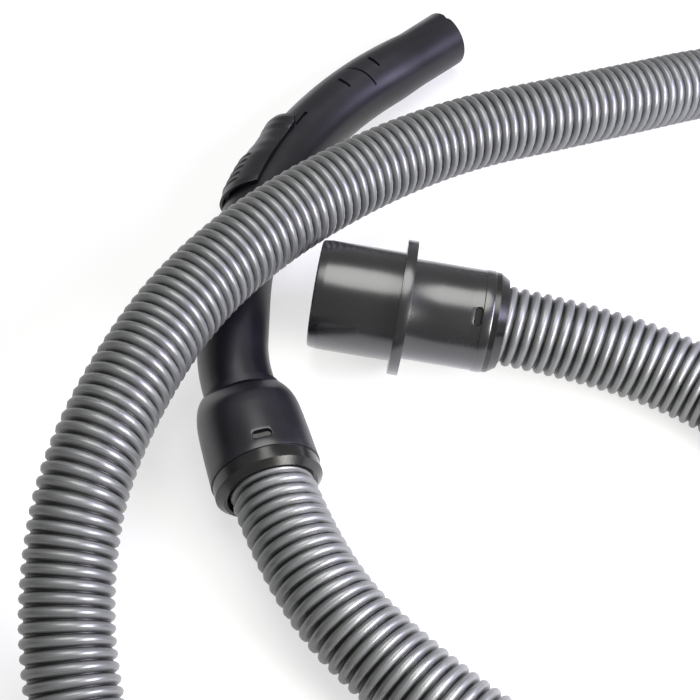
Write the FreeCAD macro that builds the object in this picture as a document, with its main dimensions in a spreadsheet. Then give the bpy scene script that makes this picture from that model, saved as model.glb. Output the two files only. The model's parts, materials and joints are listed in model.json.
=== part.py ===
"""Vacuum-cleaner hose: a ribbed hose between a bent hand grip with a swivel cuff and a swivel machine connector.

Millimetres, +Z up.  The hose, the grip and the connector lie on the plane Z = 0, and the origin is on that plane
under the middle of the grip and the connector taken together.  Each end fitting is drawn along its own X axis:
X = 0 is the face where the hose leaves it, and X grows into the fitting.
"""
import FreeCAD, Part
import math
import os
import Sketcher
from FreeCAD import Placement, Rotation, Vector

doc = FreeCAD.newDocument("vacuum_hose")
sheet = doc.addObject("Spreadsheet::Sheet", "Sizes")

SIZES = [
    # the hose
    ("hose_outer", 42, "diameter over the ribs"),
    ("hose_root", 37.8, "diameter between the ribs"),
    ("hose_bore", 35, "inside diameter"),
    ("rib_spacing", 62, "one drawn rib to the next along the centre line"),
    ("rib_foot", 28, "length of a rib where it stands on the wall"),
    ("rib_crest", 16, "length of a rib along its top"),
    ("hose_seat", 34, "how far the hose end reaches into a fitting"),
    ("hose_lead", 77, "from each hose end, straight, to the first point of its route"),
    # the threaded bush that is screwed on each hose end, and the latch ring that traps it
    ("bush_gap", 0.2, "hose rib to bush"),
    ("bush_wall", 1.1, "wall of the bush"),
    ("bush_floor", 3, "end wall of the bush behind the hose"),
    ("running_gap", 0.3, "between pieces that turn on each other"),
    ("ring_wall", 1, "wall of a latch ring inside its housing"),
    ("ring_lip", 2.6, "thickness of the lip that holds the bush"),
    ("ring_lip_gap", 0.6, "lip to hose rib"),
    ("ring_tail", 35, "how far a latch ring reaches into its housing"),
    ("seat_gap", 0.15, "between fixed pieces of one fitting"),
    ("tab_length", 8.7, "latch tab round the ring"),
    ("tab_width", 3.4, "latch tab along the ring"),
    ("tab_rise", 1.6, "latch tab over the ring"),
    ("window_gap", 0.4, "latch window round its tab"),
    # the swivel cuff of the grip
    ("cuff_nose", 9.5, "length of the latch ring that shows at the grip"),
    ("cuff_length", 61.5, "hose face to the grip-side edge"),
    ("cuff_rim", 54.4, "diameter at the hose end"),
    ("cuff_belly", 51.8, "diameter at the shoulder"),
    ("cuff_shoulder", 49, "diameter where the shoulder starts to close"),
    ("cuff_brow", 45.4, "diameter over the brow"),
    ("cuff_edge", 39.6, "diameter at the grip-side edge"),
    ("cuff_belly_at", 46, "hose face to the shoulder"),
    ("cuff_shoulder_at", 52.4, "hose face to where it starts to close"),
    ("cuff_brow_at", 57, "hose face to the brow"),
    ("cuff_stop", 38, "hose face to the inner step"),
    ("cuff_neck", 4, "length of the neck round the pipe"),
    ("cuff_tab_at", 17, "hose face to the middle of the latch tabs"),
    ("ring_face", 46.6, "diameter of a latch ring at the hose face"),
    ("cuff_ring_full", 53.2, "diameter of the grip's latch ring at the seam"),
    ("cuff_ring_turn", 3, "length of its rounded-off end"),
    # the hand grip pipe
    ("pipe_outer", 37, "diameter"),
    ("pipe_wall", 2.4, "wall"),
    ("pipe_start", 39, "hose face to the inner end of the pipe"),
    ("heel_at", 64.5, "hose face to the start of its first bend"),
    ("bead_outer", 40.8, "collar that holds the cuff"),
    ("bead_length", 4, "length of the collar"),
    ("heel_radius", 100, "bend next to the cuff"),
    ("heel_angle", 17, "turn of that bend in degrees"),
    ("grip_length", 26, "straight part that the hand holds"),
    ("bend_radius", 245, "main bend"),
    ("bend_angle", 46.7, "turn of the main bend in degrees"),
    ("neck_length", 11.4, "straight part before the taper"),
    ("taper_length", 20, "taper down to the wand fit"),
    ("tip_length", 30, "straight end that goes into the wand"),
    ("tip_outer", 35.4, "diameter of that end"),
    ("seal_length", 4.4, "felt ring between the pipe and the bush"),
    # the suction regulator on the outside of the main bend
    ("slide_start", 18.8, "degrees round the bend from the grip to the slide"),
    ("slide_turn", 14.9, "degrees of the bend that the slide covers"),
    ("slide_thick", 3.7, "how far the slide stands over the pipe"),
    ("slide_gap", 0.3, "pipe to slide"),
    ("slide_low", -30, "lower side edge of the slide, degrees round the pipe"),
    ("slide_high", 66, "upper side edge of the slide, degrees round the pipe"),
    ("dish_radius", 26, "radius of the thumb dish"),
    ("dish_depth", 2.4, "depth of the thumb dish"),
    ("dish_at", 11.1, "degrees from the lower end of the slide to the dish"),
    ("ridge_count", 6, "thumb ridges"),
    ("ridge_pitch", 1.1, "degrees from ridge to ridge"),
    ("ridge_first", 1.2, "degrees from the lower end of the slide to the first ridge"),
    ("ridge_turn", 0.5, "width of a ridge in degrees"),
    ("ridge_height", 0.8, "ridge over the slide"),
    ("ridge_inset", 7, "degrees that a ridge stops short of the slide's side edges"),
    ("slide_travel", 3.2, "degrees that the slide moves"),
    ("bleed_width", 9, "air opening under the slide, across the pipe"),
    ("bleed_turn", 4, "air opening under the slide, degrees round the bend"),
    ("rail_height", 1, "raised frame round the slide"),
    ("rail_turn", 3.2, "degrees of the frame beyond the lower end of the slide"),
    ("rail_width", 7, "width of the frame's side rails in degrees round the pipe"),
    ("rail_slack", 1, "degrees left free between the slide and its frame"),
    # the machine connector
    ("nose_length", 7.4, "length of the latch ring that shows at the connector"),
    ("sleeve_outer", 53, "diameter of the sleeve"),
    ("band_outer", 53.8, "diameter of the band at the end of the sleeve"),
    ("band_length", 5.2, "length of that band"),
    ("flange_outer", 71, "diameter of the flange"),
    ("flange_thick", 5.5, "thickness of the flange"),
    ("flange_at", 52.2, "hose face to the middle of the flange"),
    ("flange_bevel", 0.9, "bevel of the flange rim"),
    ("spigot_outer", 57.4, "diameter of the spigot that goes into the machine"),
    ("spigot_length", 43.5, "flange to mouth"),
    ("spigot_wall", 2.4, "wall of the spigot"),
    ("mouth_bevel", 1.1, "bevel of the mouth"),
    ("throat", 36, "diameter of the throat"),
    ("throat_length", 12, "length of the throat"),
    ("funnel_length", 9, "from the throat out to the spigot wall"),
    ("connector_stop", 40.5, "hose face to the inner step"),
    ("nose_tab_at", 14.6, "hose face to the middle of the latch tabs"),
    ("nose_ring_full", 52.6, "diameter of the connector's latch ring at the seam"),
    ("nose_ring_turn", 4.6, "length of its bevel"),
    # where the two ends lie
    ("grip_x", -39.4, "middle of the hose face of the grip"),
    ("grip_y", -171.67, "the same, into the picture"),
    ("grip_heading", 107, "degrees from +X, from the hose face into the grip"),
    ("connector_x", 77.3, "middle of the hose face of the connector"),
    ("connector_y", -73.47, "the same, into the picture"),
    ("connector_heading", 171.9, "degrees from +X, from the hose face into the connector"),
    ("connector_pitch", 5, "degrees that the connector dips towards the hose"),
    ("connector_roll", -34, "degrees that it is turned on its own axis"),
]


class Term:
    """A number that remembers the expression that made it, so that both can be given to a property."""

    def __init__(self, value, text):
        self.value, self.text = float(value), text

    def _join(self, other, sign, result):
        other = term(other)
        return Term(result(self.value, other.value), f"({self.text} {sign} {other.text})")

    def __add__(self, other):
        return self._join(other, "+", lambda a, b: a + b)

    def __sub__(self, other):
        return self._join(other, "-", lambda a, b: a - b)

    def __mul__(self, other):
        return self._join(other, "*", lambda a, b: a * b)

    def __truediv__(self, other):
        return self._join(other, "/", lambda a, b: a / b)


def term(thing):
    return thing if isinstance(thing, Term) else Term(thing, f"{float(thing):.6g}")


for row, (alias, number, note) in enumerate(SIZES, start=1):
    sheet.set(f"A{row}", note)
    sheet.set(f"B{row}", str(number))
    sheet.setAlias(f"B{row}", alias)
doc.recompute()


class Sizes:
    """size.name is the cell with that alias, as a Term."""

    def __getattr__(self, alias):
        return Term(sheet.get(alias), f"Sizes.{alias}")


size = Sizes()


def sine(angle):
    return Term(math.sin(math.radians(angle.value)), f"sin({angle.text} * 1 deg)")


def cosine(angle):
    return Term(math.cos(math.radians(angle.value)), f"cos({angle.text} * 1 deg)")


def arcsine(ratio):
    return Term(math.degrees(math.asin(ratio.value)), f"asin({ratio.text}) / 1 deg")


def bind(thing, name, amount):
    thing.setExpression(name, amount.text)


def new_body(name):
    body = doc.addObject("PartDesign::Body", name)
    body.Label = name
    return body


def origin_plane(body, role):
    return next(f for f in body.Origin.OriginFeatures if f.Role == role)


def new_sketch(body, name, role, lift=None):
    """A sketch on one of the body's origin planes, or over it by `lift`."""
    sketch = body.newObject("Sketcher::SketchObject", name)
    sketch.AttachmentSupport = [(origin_plane(body, role), "")]
    sketch.MapMode = "FlatFace"
    if lift is not None:
        bind(sketch, "AttachmentOffset.Base.z", lift)
    return sketch


def pin(sketch, kind, label, amount, *where):
    """One measured constraint, bound to its cells."""
    number = sketch.addConstraint(Sketcher.Constraint(kind, *where, amount.value))
    sketch.renameConstraint(number, label)
    sketch.setExpression(f"Constraints.{label}", amount.text)


def draw_outline(sketch, corners):
    """A closed outline of straight lines through corners, each a pair of Terms measured from the origin."""
    corners = [(term(x), term(y)) for x, y in corners]
    ends = corners[1:] + corners[:1]
    for (x, y), (to_x, to_y) in zip(corners, ends):
        sketch.addGeometry(Part.LineSegment(Vector(x.value, y.value, 0), Vector(to_x.value, to_y.value, 0)))
    for k in range(len(corners)):
        sketch.addConstraint(Sketcher.Constraint("Coincident", k, 2, (k + 1) % len(corners), 1))
    for k, (x, y) in enumerate(corners):
        pin(sketch, "DistanceX", f"along_{k}", x, -1, 1, k, 1)
        pin(sketch, "DistanceY", f"out_{k}", y, -1, 1, k, 1)


def draw_circle(sketch, radius, x=None):
    """A circle round the sketch's origin, or round a point `x` along its horizontal axis."""
    place = Vector(x.value if x else 0, 0, 0)
    sketch.addGeometry(Part.Circle(place, Vector(0, 0, 1), radius.value))
    if x:
        sketch.addConstraint(Sketcher.Constraint("PointOnObject", 0, 3, -1))
        pin(sketch, "DistanceX", "centre_along", x, -1, 1, 0, 3)
    else:
        sketch.addConstraint(Sketcher.Constraint("Coincident", 0, 3, -1, 1))
    pin(sketch, "Radius", "radius", radius, 0)


def turned(body, name, corners):
    """A piece turned round the X axis from its half section: pairs of distance along X and radius."""
    sketch = new_sketch(body, name + "_section", "XZ_Plane")
    draw_outline(sketch, corners)
    feature = body.newObject("PartDesign::Revolution", name)
    feature.Profile = sketch
    feature.ReferenceAxis = (sketch, ["H_Axis"])
    feature.Angle = 360
    sketch.Visibility = False
    return feature


# Sizes that several pieces share.
half = term(0.5)
bush_inner = size.hose_outer * half + size.bush_gap
bush_outer = bush_inner + size.bush_wall
ring_inner = bush_outer + size.running_gap
ring_outer = ring_inner + size.ring_wall
housing_inner = ring_outer + size.seat_gap
lip_inner = size.hose_outer * half + size.ring_lip_gap
bush_near = size.ring_lip + size.running_gap
bush_far = size.hose_seat + size.bush_floor
pipe_radius = size.pipe_outer * half
pipe_bore = pipe_radius - size.pipe_wall
window_long = size.tab_length + size.window_gap * term(2)
window_wide = size.tab_width + size.window_gap * term(2)


def hose_bush(name):
    """The bush screwed on a hose end: a thin sleeve over the ribs with an end wall that the hose butts against."""
    body = new_body(name)
    bore = size.hose_bore * half
    turned(body, name + "_turning", [
        (bush_near, bush_inner),
        (size.hose_seat, bush_inner),
        (size.hose_seat, bore),
        (bush_far, bore),
        (bush_far, bush_outer),
        (bush_near, bush_outer),
    ])
    return body


def latch_ring(name, nose, full, turn, tab_at):
    """The ring that traps the bush: a nose that shows, a thin tail inside the housing, and two snap tabs."""
    body = new_body(name)
    base = turned(body, name + "_turning", [
        (term(0), lip_inner),
        (size.ring_lip, lip_inner),
        (size.ring_lip, ring_inner),
        (size.ring_tail, ring_inner),
        (size.ring_tail, ring_outer),
        (nose, ring_outer),
        (nose, full * half),
        (turn, full * half),
        (term(0), size.ring_face * half),
    ])
    foot = ring_outer - size.ring_wall * half
    sketch = new_sketch(body, name + "_tab_outline", "XY_Plane", lift=foot)
    across = size.tab_length * half
    along = size.tab_width * half
    draw_outline(sketch, [
        (tab_at - along, term(0) - across),
        (tab_at + along, term(0) - across),
        (tab_at + along, across),
        (tab_at - along, across),
    ])
    doc.recompute()
    tab = body.newObject("PartDesign::Pad", name + "_tab")
    tab.Profile = sketch
    bind(tab, "Length", ring_outer + size.tab_rise - foot)
    sketch.Visibility = False
    doc.recompute()
    pair = body.newObject("PartDesign::PolarPattern", name + "_tab_pair")
    pair.Originals = [tab]
    pair.Axis = (base.Profile[0], ["H_Axis"])
    pair.Angle = 360
    pair.Occurrences = 2
    body.Tip = pair
    return body


def latch_windows(body, name, tab_at):
    """Two openings, above and below, that the latch tabs snap into."""
    sketch = new_sketch(body, name + "_outline", "XY_Plane")
    across = window_long * half
    along = window_wide * half
    draw_outline(sketch, [
        (tab_at - along, term(0) - across),
        (tab_at + along, term(0) - across),
        (tab_at + along, across),
        (tab_at - along, across),
    ])
    doc.recompute()
    feature = body.newObject("PartDesign::Pocket", name)
    feature.Profile = sketch
    feature.Type = 1
    feature.Midplane = True
    sketch.Visibility = False
    doc.recompute()
    return feature


# The swivel cuff at the hand grip, with its latch ring.
cuff = new_body("swivel_cuff")
neck_start = size.cuff_length - size.cuff_neck
neck_inner = pipe_radius + size.running_gap
bead_room = size.bead_outer * half + size.running_gap
turned(cuff, "cuff_turning", [
    (size.cuff_nose, housing_inner),
    (size.cuff_stop, housing_inner),
    (size.cuff_stop, bead_room),
    (neck_start, bead_room),
    (neck_start, neck_inner),
    (size.cuff_length, neck_inner),
    (size.cuff_length, size.cuff_edge * half),
    (size.cuff_brow_at, size.cuff_brow * half),
    (size.cuff_shoulder_at, size.cuff_shoulder * half),
    (size.cuff_belly_at, size.cuff_belly * half),
    (size.cuff_nose, size.cuff_rim * half),
])
doc.recompute()
latch_windows(cuff, "cuff_windows", size.cuff_tab_at)
cuff_ring = latch_ring("cuff_latch_ring", size.cuff_nose, size.cuff_ring_full, size.cuff_ring_turn, size.cuff_tab_at)
grip_bush = hose_bush("grip_hose_bush")

# The felt ring round the inner end of the pipe, against the end wall of the bush.
felt = new_body("grip_felt_ring")
felt_near = bush_far + size.seat_gap
turned(felt, "felt_turning", [
    (felt_near, pipe_radius + size.seat_gap),
    (felt_near + size.seal_length, pipe_radius + size.seat_gap),
    (felt_near + size.seal_length, size.bead_outer * half),
    (felt_near, size.bead_outer * half),
])

# The bent hand grip pipe.  Its centre line lies in the XY plane and bends towards -Y.
pipe = new_body("grip_pipe")
heel_x = size.heel_at + size.heel_radius * sine(size.heel_angle)
heel_y = size.heel_radius * (cosine(size.heel_angle) - term(1))
grip_x = heel_x + size.grip_length * cosine(size.heel_angle)
grip_y = heel_y - size.grip_length * sine(size.heel_angle)
bend_x = grip_x - size.bend_radius * sine(size.heel_angle)
bend_y = grip_y - size.bend_radius * cosine(size.heel_angle)
tip_turn = size.heel_angle + size.bend_angle
neck_x = bend_x + size.bend_radius * sine(tip_turn)
neck_y = bend_y + size.bend_radius * cosine(tip_turn)
taper_x = neck_x + size.neck_length * cosine(tip_turn)
taper_y = neck_y - size.neck_length * sine(tip_turn)
fit_x = taper_x + size.taper_length * cosine(tip_turn)
fit_y = taper_y - size.taper_length * sine(tip_turn)
tip_x = fit_x + size.tip_length * cosine(tip_turn)
tip_y = fit_y - size.tip_length * sine(tip_turn)


def spot(x, y):
    return Vector(x.value, y.value, 0)


def bend_arc(middle_x, middle_y, radius, from_turn, to_turn):
    """The arc round (middle_x, middle_y) between two headings, both measured from +X towards -Y."""
    middle = spot(middle_x, middle_y)
    low, high = (math.radians(90 - angle.value) for angle in (to_turn, from_turn))
    return Part.ArcOfCircle(Part.Circle(middle, Vector(0, 0, 1), radius.value), low, high)


centre_line = new_sketch(pipe, "grip_centre_line", "XY_Plane")
centre_line.addGeometry(Part.LineSegment(spot(size.pipe_start, term(0)), spot(size.heel_at, term(0))))
centre_line.addGeometry(bend_arc(size.heel_at, term(0) - size.heel_radius, size.heel_radius, term(0), size.heel_angle))
centre_line.addGeometry(Part.LineSegment(spot(heel_x, heel_y), spot(grip_x, grip_y)))
centre_line.addGeometry(bend_arc(bend_x, bend_y, size.bend_radius, size.heel_angle, tip_turn))
centre_line.addGeometry(Part.LineSegment(spot(neck_x, neck_y), spot(taper_x, taper_y)))
centre_line.addGeometry(Part.LineSegment(spot(taper_x, taper_y), spot(fit_x, fit_y)))
centre_line.addGeometry(Part.LineSegment(spot(fit_x, fit_y), spot(tip_x, tip_y)))
JOINED_ENDS = (((0, 2), (1, 2)), ((1, 1), (2, 1)), ((2, 2), (3, 2)), ((3, 1), (4, 1)), ((4, 2), (5, 1)), ((5, 2), (6, 1)))
for one_end, other_end in JOINED_ENDS:
    centre_line.addConstraint(Sketcher.Constraint("Coincident", *one_end, *other_end))
for label, line, x, y in (
    ("start", 0, size.pipe_start, term(0)), ("heel", 2, heel_x, heel_y), ("neck", 4, neck_x, neck_y),
):
    pin(centre_line, "DistanceX", label + "_x", x, -1, 1, line, 1)
    pin(centre_line, "DistanceY", label + "_y", y, -1, 1, line, 1)
for label, line, x, y in (
    ("foot", 0, size.heel_at, term(0)), ("grip", 2, grip_x, grip_y), ("taper", 4, taper_x, taper_y),
    ("fit", 5, fit_x, fit_y), ("tip", 6, tip_x, tip_y),
):
    pin(centre_line, "DistanceX", label + "_x", x, -1, 1, line, 2)
    pin(centre_line, "DistanceY", label + "_y", y, -1, 1, line, 2)
pin(centre_line, "Radius", "heel_radius", size.heel_radius, 1)
pin(centre_line, "Radius", "bend_radius", size.bend_radius, 3)

pipe_section = new_sketch(pipe, "grip_section", "YZ_Plane", lift=size.pipe_start)
draw_circle(pipe_section, pipe_radius)
doc.recompute()
pipe_rod = pipe.newObject("PartDesign::AdditivePipe", "grip_rod")
pipe_rod.Profile = pipe_section
pipe_rod.Spine = (centre_line, ["Edge1", "Edge2", "Edge3", "Edge4", "Edge5"])


def circle_across(body, name, edge, radius):
    """A circle square to the centre line at the far end of one of its edges, counted from 1."""
    sketch = body.newObject("Sketcher::SketchObject", name)
    sketch.AttachmentSupport = [(centre_line, f"Edge{edge}")]
    sketch.MapMode = "NormalToEdge"
    sketch.MapPathParameter = 1
    draw_circle(sketch, radius)
    return sketch


taper_foot = circle_across(pipe, "taper_foot", 5, pipe_radius)
taper_end = circle_across(pipe, "taper_end", 6, size.tip_outer * half)
doc.recompute()
taper = pipe.newObject("PartDesign::AdditiveLoft", "tip_taper")
taper.Profile = taper_foot
taper.Sections = [taper_end]
doc.recompute()
wand_fit = pipe.newObject("PartDesign::Pad", "wand_fit")
wand_fit.Profile = taper_end
wand_fit.Reversed = True
bind(wand_fit, "Length", size.tip_length)
bead_end = neck_start - size.running_gap
bead_section = new_sketch(pipe, "bead_section", "XZ_Plane")
draw_outline(bead_section, [
    (bead_end - size.bead_length, pipe_radius - size.pipe_wall * half),
    (bead_end, pipe_radius - size.pipe_wall * half),
    (bead_end, size.bead_outer * half),
    (bead_end - size.bead_length, size.bead_outer * half),
])
doc.recompute()
bead = pipe.newObject("PartDesign::Revolution", "cuff_bead")
bead.Profile = bead_section
bead.ReferenceAxis = (bead_section, ["H_Axis"])
bead.Angle = 360
bore_section = new_sketch(pipe, "bore_section", "YZ_Plane", lift=size.pipe_start)
draw_circle(bore_section, pipe_bore)
doc.recompute()
bore = pipe.newObject("PartDesign::SubtractivePipe", "pipe_bore")
bore.Profile = bore_section
bore.Spine = (centre_line, [f"Edge{number}" for number in range(1, 8)])
doc.recompute()
for sketch in (centre_line, pipe_section, taper_foot, taper_end, bead_section, bore_section):
    sketch.Visibility = False

# What follows the main bend is drawn in the bend's own frame: Z is its axis, angles grow towards the tip, and
# around the pipe they grow from the outside of the bend upwards, which in this frame is towards -Z.
bend_start = term(90) - size.heel_angle - size.slide_start
bend_place = f"placement(vector({bend_x.text}; {bend_y.text}; 0); rotation({bend_start.text}; 0; 180))"


def draw_sector(sketch, inner, outer, low, high):
    """Part of a ring round the pipe's section, between two angles measured upwards from the outside of the bend."""
    middle = Vector(size.bend_radius.value, 0, 0)
    ends = []
    for radius in (inner, outer):
        for angle in (high, low):
            ends.append((size.bend_radius + radius * cosine(angle), term(0) - radius * sine(angle)))
    turns = [-math.radians(high.value), -math.radians(low.value)]
    sketch.addGeometry(Part.ArcOfCircle(Part.Circle(middle, Vector(0, 0, 1), inner.value), *turns))
    sketch.addGeometry(Part.ArcOfCircle(Part.Circle(middle, Vector(0, 0, 1), outer.value), *turns))
    sketch.addGeometry(Part.LineSegment(spot(*ends[0]), spot(*ends[2])))
    sketch.addGeometry(Part.LineSegment(spot(*ends[1]), spot(*ends[3])))
    for line, line_end, arc, arc_end in ((2, 1, 0, 1), (2, 2, 1, 1), (3, 1, 0, 2), (3, 2, 1, 2)):
        sketch.addConstraint(Sketcher.Constraint("Coincident", line, line_end, arc, arc_end))
    sketch.addConstraint(Sketcher.Constraint("PointOnObject", 0, 3, -1))
    sketch.addConstraint(Sketcher.Constraint("Coincident", 0, 3, 1, 3))
    pin(sketch, "DistanceX", "middle", size.bend_radius, -1, 1, 0, 3)
    pin(sketch, "Radius", "inner", inner, 0)
    pin(sketch, "Radius", "outer", outer, 1)
    for label, arc, end, (x, y) in (
        ("inner_high", 0, 1, ends[0]), ("inner_low", 0, 2, ends[1]), ("outer_high", 1, 1, ends[2]), ("outer_low", 1, 2, ends[3]),
    ):
        pin(sketch, "DistanceY", label, y, -1, 1, arc, end)


def swept_round_bend(body, name, section, turn, start=None):
    """The section turned round the bend's axis by `turn` degrees, from `start` degrees on."""
    if start is not None:
        section.setExpression(
            "AttachmentOffset", f"placement(vector(0; 0; 0); rotation(vector(0; 1; 0); {start.text}))"
        )
    feature = body.newObject("PartDesign::Revolution", name)
    feature.Profile = section
    feature.ReferenceAxis = (section, ["V_Axis"])
    bind(feature, "Angle", turn)
    section.Visibility = False
    return feature


slide_inner = pipe_radius + size.slide_gap
slide_outer = pipe_radius + size.slide_thick
slide = new_body("suction_slide")
slide_section = new_sketch(slide, "slide_section", "XZ_Plane")
draw_sector(slide_section, slide_inner, slide_outer, size.slide_low, size.slide_high)
doc.recompute()
slide_shell = swept_round_bend(slide, "slide_shell", slide_section, size.slide_turn)
doc.recompute()
dish_outline = new_sketch(slide, "dish_outline", "XY_Plane")
dish_reach = size.bend_radius + slide_outer - size.dish_depth + size.dish_radius
dish_x = dish_reach * cosine(size.dish_at)
dish_y = dish_reach * sine(size.dish_at)
dish_outline.addGeometry(Part.Circle(spot(dish_x, dish_y), Vector(0, 0, 1), size.dish_radius.value))
pin(dish_outline, "DistanceX", "along", dish_x, -1, 1, 0, 3)
pin(dish_outline, "DistanceY", "across", dish_y, -1, 1, 0, 3)
pin(dish_outline, "Radius", "radius", size.dish_radius, 0)
doc.recompute()
dish = slide.newObject("PartDesign::Pocket", "thumb_dish")
dish.Profile = dish_outline
dish.Type = 1
dish.Midplane = True
dish_outline.Visibility = False
doc.recompute()
ridge_section = new_sketch(slide, "ridge_section", "XZ_Plane")
draw_sector(
    ridge_section,
    slide_outer - size.ridge_height,
    slide_outer + size.ridge_height,
    size.slide_low + size.ridge_inset,
    size.slide_high - size.ridge_inset,
)
doc.recompute()
ridge = swept_round_bend(slide, "ridge", ridge_section, size.ridge_turn, start=size.ridge_first)
doc.recompute()
ridges = slide.newObject("PartDesign::PolarPattern", "ridges")
ridges.Originals = [ridge]
ridges.Axis = (slide_section, ["V_Axis"])
bind(ridges, "Angle", size.ridge_pitch * (size.ridge_count - term(1)))
bind(ridges, "Occurrences", size.ridge_count)
slide.Tip = ridges
doc.recompute()

# The raised frame moulded on the pipe round the slide: a rail along each side and a bridge below its lower end.
frame = new_body("slide_frame")
rail_inner = pipe_radius - size.pipe_wall * half
rail_outer = pipe_radius + size.rail_height
rail_run = size.rail_turn + size.slide_turn + size.slide_travel + size.rail_slack
for side, low in (("lower", size.slide_low - size.rail_width - size.rail_slack), ("upper", size.slide_high + size.rail_slack)):
    rail_section = new_sketch(frame, side + "_rail_section", "XZ_Plane")
    draw_sector(rail_section, rail_inner, rail_outer, low, low + size.rail_width)
    doc.recompute()
    swept_round_bend(frame, side + "_rail", rail_section, rail_run, start=term(0) - size.rail_turn)
    doc.recompute()
bridge_section = new_sketch(frame, "bridge_section", "XZ_Plane")
draw_sector(
    bridge_section,
    rail_inner,
    rail_outer,
    size.slide_low - size.rail_width - size.rail_slack,
    size.slide_high + size.rail_width + size.rail_slack,
)
doc.recompute()
swept_round_bend(frame, "bridge", bridge_section, size.rail_turn - size.rail_slack, start=term(0) - size.rail_turn)
doc.recompute()

# The air opening through the pipe wall, closed by the slide until it is pushed towards the tip.
opening = new_body("air_opening")
opening_section = new_sketch(opening, "air_opening_section", "XZ_Plane")
opening_low = size.bend_radius + pipe_bore - size.pipe_wall
opening_high = size.bend_radius + pipe_radius + size.pipe_wall
draw_outline(opening_section, [
    (opening_low, term(0) - size.bleed_width * half),
    (opening_high, term(0) - size.bleed_width * half),
    (opening_high, size.bleed_width * half),
    (opening_low, size.bleed_width * half),
])
doc.recompute()
swept_round_bend(opening, "air_opening_sweep", opening_section, size.bleed_turn, start=size.rail_slack)
doc.recompute()
framed = doc.addObject("Part::Fuse", "framed_pipe")
framed.Base, framed.Tool = pipe, frame
hand_grip = doc.addObject("Part::Cut", "hand_grip")
hand_grip.Base, hand_grip.Tool = framed, opening
hand_grip.Label = "hand_grip"

# The machine connector: sleeve over the latch ring, flange, and the spigot that goes into the machine.
machine = new_body("machine_connector")
flange_near = size.flange_at - size.flange_thick * half
flange_far = size.flange_at + size.flange_thick * half
mouth_x = flange_far + size.spigot_length
spigot_bore = size.spigot_outer * half - size.spigot_wall
band_end = size.nose_length + size.band_length
throat_end = size.connector_stop + size.throat_length
funnel_end = throat_end + size.funnel_length
turned(machine, "connector_turning", [
    (size.nose_length, housing_inner),
    (size.connector_stop, housing_inner),
    (size.connector_stop, size.throat * half),
    (throat_end, size.throat * half),
    (funnel_end, spigot_bore),
    (mouth_x, spigot_bore),
    (mouth_x, size.spigot_outer * half - size.mouth_bevel),
    (mouth_x - size.mouth_bevel, size.spigot_outer * half),
    (flange_far, size.spigot_outer * half),
    (flange_far, size.flange_outer * half - size.flange_bevel),
    (flange_far - size.flange_bevel, size.flange_outer * half),
    (flange_near + size.flange_bevel, size.flange_outer * half),
    (flange_near, size.flange_outer * half - size.flange_bevel),
    (flange_near, size.sleeve_outer * half),
    (band_end, size.sleeve_outer * half),
    (band_end, size.band_outer * half),
    (size.nose_length, size.band_outer * half),
])
doc.recompute()
latch_windows(machine, "connector_windows", size.nose_tab_at)
machine_ring = latch_ring(
    "connector_latch_ring", size.nose_length, size.nose_ring_full, size.nose_ring_turn, size.nose_tab_at
)
machine_bush = hose_bush("connector_hose_bush")
gasket = new_body("connector_gasket")
gasket_near = bush_far + size.running_gap
turned(gasket, "gasket_turning", [
    (gasket_near, size.throat * half),
    (size.connector_stop - size.seat_gap, size.throat * half),
    (size.connector_stop - size.seat_gap, bush_outer),
    (gasket_near, bush_outer),
])

# Where the two ends lie.  The grip rests on the rim of its cuff and on its tip, the connector on its flange.
grip_lean = arcsine((size.cuff_rim - size.tip_outer) * half / (term(0) - tip_y))
grip_place = (
    f"placement(vector({size.grip_x.text}; {size.grip_y.text}; {(size.cuff_rim * half).text}); "
    f"rotation({size.grip_heading.text}; 0; {grip_lean.text}))"
)
dip = size.connector_pitch
connector_rise = (
    size.flange_outer * half * cosine(dip)
    + (size.flange_thick * half - size.flange_bevel) * sine(dip)
    - size.flange_at * sine(dip)
)
connector_place = (
    f"placement(vector({size.connector_x.text}; {size.connector_y.text}; {connector_rise.text}); "
    f"rotation({size.connector_heading.text}; -{dip.text}; {size.connector_roll.text}))"
)
for piece in (pipe, cuff, cuff_ring, grip_bush, felt):
    piece.setExpression("Placement", grip_place)
for piece in (slide, frame, opening):
    piece.setExpression("Placement", f"{grip_place} * {bend_place}")
for piece in (machine, machine_ring, machine_bush, gasket):
    piece.setExpression("Placement", connector_place)
doc.recompute()


# The route of the hose's centre line.  Its first and last two points follow from the two end fittings.
def on_axis(piece, x):
    return piece.Placement.multVec(Vector(x, 0, 0))


grip_seat = on_axis(grip_bush, size.hose_seat.value)
grip_lead = on_axis(grip_bush, size.hose_seat.value - size.hose_lead.value)
connector_seat = on_axis(machine_bush, size.hose_seat.value)
connector_lead = on_axis(machine_bush, size.hose_seat.value - size.hose_lead.value)
ROUTE = [
    grip_seat,
    grip_lead,
    Vector(31, -272, 21),
    # the outer loop
    Vector(109, -326, 21),
    Vector(208, -336, 21),
    Vector(307, -300, 21),
    Vector(398, -221, 21),
    Vector(447, -108, 21),
    Vector(431, 16, 21),
    Vector(354, 103, 21),
    Vector(247, 130, 22),
    # over the hand grip
    Vector(145, 81, 40),
    Vector(33, 35, 54),
    Vector(-72, -62, 70),
    Vector(-119, -169, 71),
    Vector(-128, -238, 46),
    Vector(-114, -301, 22),
    # the inner loop, which goes over the outer loop once
    Vector(-73, -366, 21),
    Vector(9, -412, 21),
    Vector(106, -411, 40),
    Vector(190, -362, 65),
    Vector(238, -278, 65),
    Vector(244, -188, 40),
    Vector(197, -115, 21),
    connector_lead,
    connector_seat,
]


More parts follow.
